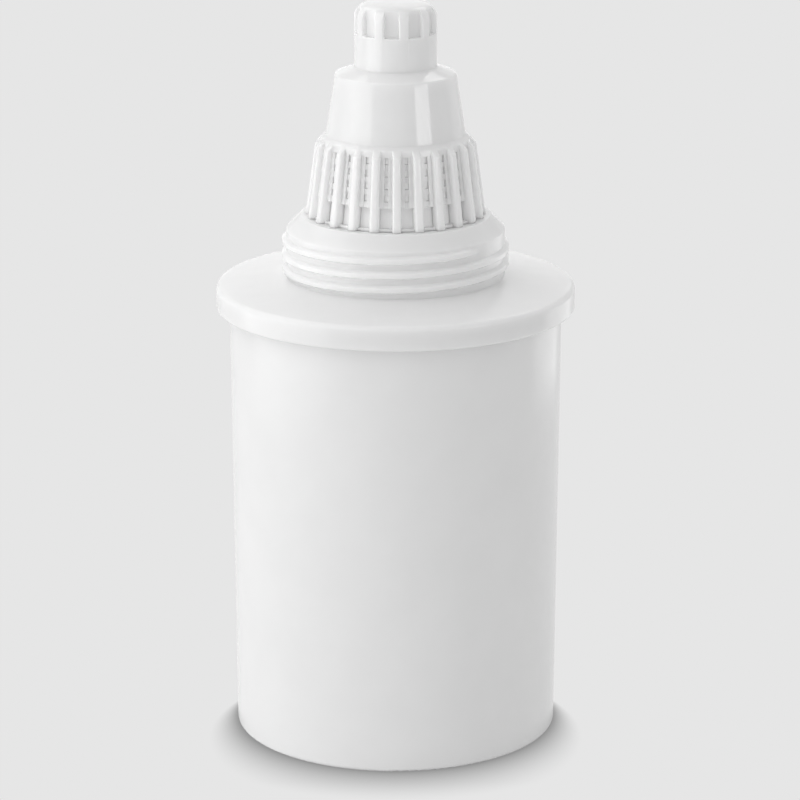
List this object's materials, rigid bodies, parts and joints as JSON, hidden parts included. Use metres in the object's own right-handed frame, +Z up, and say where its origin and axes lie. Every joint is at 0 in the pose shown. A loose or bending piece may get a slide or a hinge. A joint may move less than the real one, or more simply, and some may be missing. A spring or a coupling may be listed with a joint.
{
  "type": "water filter cartridge",
  "caption": "Upright jug filter cartridge: tapered cup of filter media, flanged cover with a threaded neck, and a ribbed strainer cap with a fluted knob.",
  "frame": {"origin": "centre of the foot ring's underside, on the surface that the cartridge stands on", "axes": "+Z up along the cartridge's axis to the knob, -Y to the front as pictured"},
  "size_m": [0.08, 0.08, 0.1659],
  "materials": {
    "cup_plastic": "satin white moulded polypropylene",
    "cover_plastic": "satin white moulded polypropylene",
    "cap_plastic": "glossy white moulded polypropylene",
    "grid_plastic": "matt white moulded polypropylene",
    "screen_mesh": "fine woven nylon mesh",
    "felt": "needled polyester felt",
    "carbon": "loose granular activated carbon",
    "resin": "loose ion-exchange resin beads"
  },
  "bodies": {
    "root": {"housing_cup": "cup_plastic", "neck_cover": "cover_plastic", "strainer_cap": "cap_plastic", "inlet_screen": "screen_mesh", "upper_grid": "grid_plastic", "upper_screen": "screen_mesh", "upper_felt": "felt", "carbon_bed": "carbon", "middle_felt": "felt", "resin_bed": "resin", "lower_felt": "felt", "outlet_screen": "screen_mesh"}
  },
  "joints": []
}
